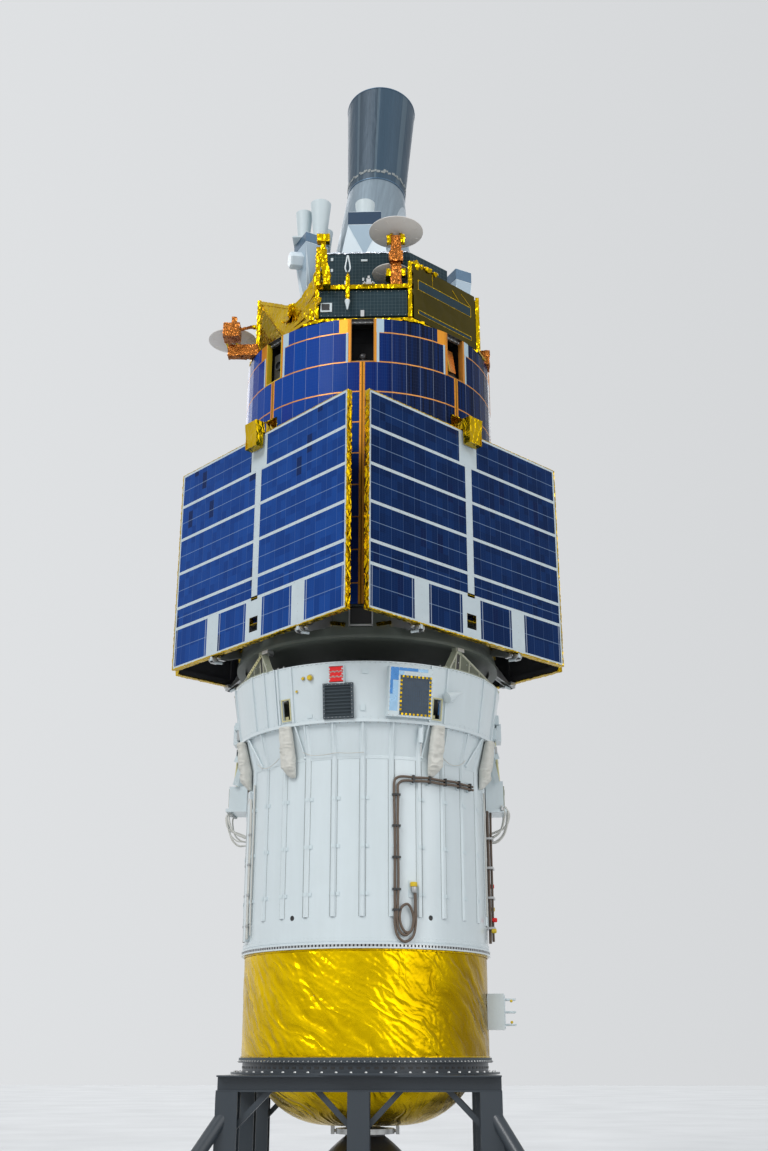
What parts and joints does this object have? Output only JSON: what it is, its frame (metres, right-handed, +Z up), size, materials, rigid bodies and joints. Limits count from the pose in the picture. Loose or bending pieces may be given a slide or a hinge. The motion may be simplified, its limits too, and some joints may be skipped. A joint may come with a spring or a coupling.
{
  "type": "satellite on its transfer booster and display stand",
  "caption": "Early-warning type satellite with folded solar paddles and tilted telescope, on a two-stage booster and steel display stand.",
  "frame": {"origin": "on the floor at the vertical axis of the stack", "axes": "+Z up along the stack, -Y towards the front, +X to the right seen from the front"},
  "size_m": [4.2936, 4.2936, 13.8719],
  "materials": {
    "stand_steel": "satin dark blue-grey stand paint",
    "gold_foil": "wrinkled gold coated polyimide foil",
    "white_paint": "gloss white paint",
    "motor_case": "gold foil over a wound motor case",
    "dark_carbon": "dark carbon composite",
    "bare_metal": "machined aluminium",
    "louvre_dark": "dark slatted louvre",
    "red_cover": "red protective cover",
    "radiator_blue": "silvered radiator frame with a dark centre",
    "fabric_white": "white beta cloth",
    "harness_brown": "braided brown harness sleeve",
    "primer_green": "grey-green primer",
    "aft_grey": "dark grey-green",
    "solar_cell": "covered blue solar cells with copper seams",
    "copper_foil": "copper coloured wrinkled foil",
    "deck_foil": "dark gold reflecting foil panel",
    "deck_grid": "dark gridded thermal panel",
    "dish_grey": "warm light grey paint",
    "silver_mirror": "silvered reflecting sheet",
    "cone_grey": "pale grey sheet",
    "sensor_black": "black sensor housing"
  },
  "bodies": {
    "stack": {"stand_ring": "stand_steel", "stand_long_beams": "stand_steel", "stand_cross_beams": "stand_steel", "stand_posts": "stand_steel", "stand_outriggers": "stand_steel", "stand_braces": "stand_steel", "aft_skirt": "white_paint", "skirt_blanket": "gold_foil", "aft_flange": "bare_metal", "first_motor": "motor_case", "nozzle_lugs": "bare_metal", "interstage": "white_paint", "interstage_flare": "white_paint", "equipment_section": "white_paint", "equipment_deck": "primer_green", "second_motor": "motor_case", "side_boxes": "white_paint", "adapter_trusses": "primer_green", "aft_body": "aft_grey", "hinge_arms": "bare_metal", "solar_drum": "solar_cell", "window_sensors": "sensor_black", "paddle_latches": "gold_foil", "deck_base": "gold_foil", "payload_deck": "deck_grid", "deck_grid_panels": "deck_grid", "deck_foil_panels": "deck_foil", "deck_posts": "gold_foil", "gusset_frame": "gold_foil", "telescope_cone": "cone_grey", "telescope_barrel": "silver_mirror", "sensor_boxes": "white_paint", "horn_antennas": "white_paint", "front_mast": "copper_foil", "boom_bracket": "gold_foil", "copper_boxes": "copper_foil", "foil_mast": "gold_foil", "front_antenna": "gold_foil", "louvre_panel": "louvre_dark", "red_cover": "red_cover", "radiator_panel": "radiator_blue", "cover_bags": "fabric_white", "flare_struts": "white_paint", "raceway": "white_paint", "cone_antenna": "white_paint", "front_harness": "harness_brown", "side_harness": "harness_brown", "service_box": "white_paint"},
    "paddle_front_left": {"paddle_front_left": "solar_cell"},
    "paddle_front_right": {"paddle_front_right": "solar_cell"},
    "paddle_rear_right": {"paddle_rear_right": "solar_cell"},
    "paddle_rear_left": {"paddle_rear_left": "solar_cell"},
    "gimbal_ring": {"gimbal_ring": "bare_metal"},
    "exit_cone": {"exit_cone": "dark_carbon"},
    "upper_dish": {"upper_dish": "dish_grey"},
    "lower_dish": {"lower_dish": "dish_grey"},
    "left_boom": {"left_boom": "copper_foil"},
    "left_dish": {"left_dish": "dish_grey"}
  },
  "joints": [
    {"name": "paddle_front_left_hinge", "type": "hinge", "parent": "stack", "child": "paddle_front_left", "pos_m": [-1.11086, -1.11086, 5.6], "axis": [0.7071, -0.7071, 0], "range_deg": [0, 129]},
    {"name": "paddle_front_right_hinge", "type": "hinge", "parent": "stack", "child": "paddle_front_right", "pos_m": [1.11086, -1.11086, 5.6], "axis": [0.7071, 0.7071, 0], "range_deg": [0, 129]},
    {"name": "paddle_rear_right_hinge", "type": "hinge", "parent": "stack", "child": "paddle_rear_right", "pos_m": [1.11086, 1.11086, 5.6], "axis": [-0.7071, 0.7071, 0], "range_deg": [0, 129]},
    {"name": "paddle_rear_left_hinge", "type": "hinge", "parent": "stack", "child": "paddle_rear_left", "pos_m": [-1.11086, 1.11086, 5.6], "axis": [-0.7071, -0.7071, 0], "range_deg": [0, 129]},
    {"name": "nozzle_pitch", "type": "hinge", "parent": "stack", "child": "gimbal_ring", "pos_m": [0, 0, 0.95], "axis": [1, 0, 0], "range_deg": [-4, 4]},
    {"name": "nozzle_yaw", "type": "hinge", "parent": "gimbal_ring", "child": "exit_cone", "pos_m": [0, 0, 0.95], "axis": [0, 1, 0], "range_deg": [-4, 4]},
    {"name": "upper_dish_tilt", "type": "hinge", "parent": "stack", "child": "upper_dish", "pos_m": [0.365, -1.17, 10.46], "axis": [1, 0, 0], "range_deg": [-18, 18]},
    {"name": "lower_dish_tilt", "type": "hinge", "parent": "stack", "child": "lower_dish", "pos_m": [0.31, -1.045, 9.99], "axis": [1, 0, 0], "range_deg": [-18, 18]},
    {"name": "left_boom_hinge", "type": "hinge", "parent": "stack", "child": "left_boom", "pos_m": [-1.336, -0.548, 9.7], "axis": [0, 1, 0], "range_deg": [0, 90]},
    {"name": "left_dish_tilt", "type": "hinge", "parent": "left_boom", "child": "left_dish", "pos_m": [-1.61, -0.33, 9.57], "axis": [0, 1, 0], "range_deg": [-15, 15]}
  ]
}
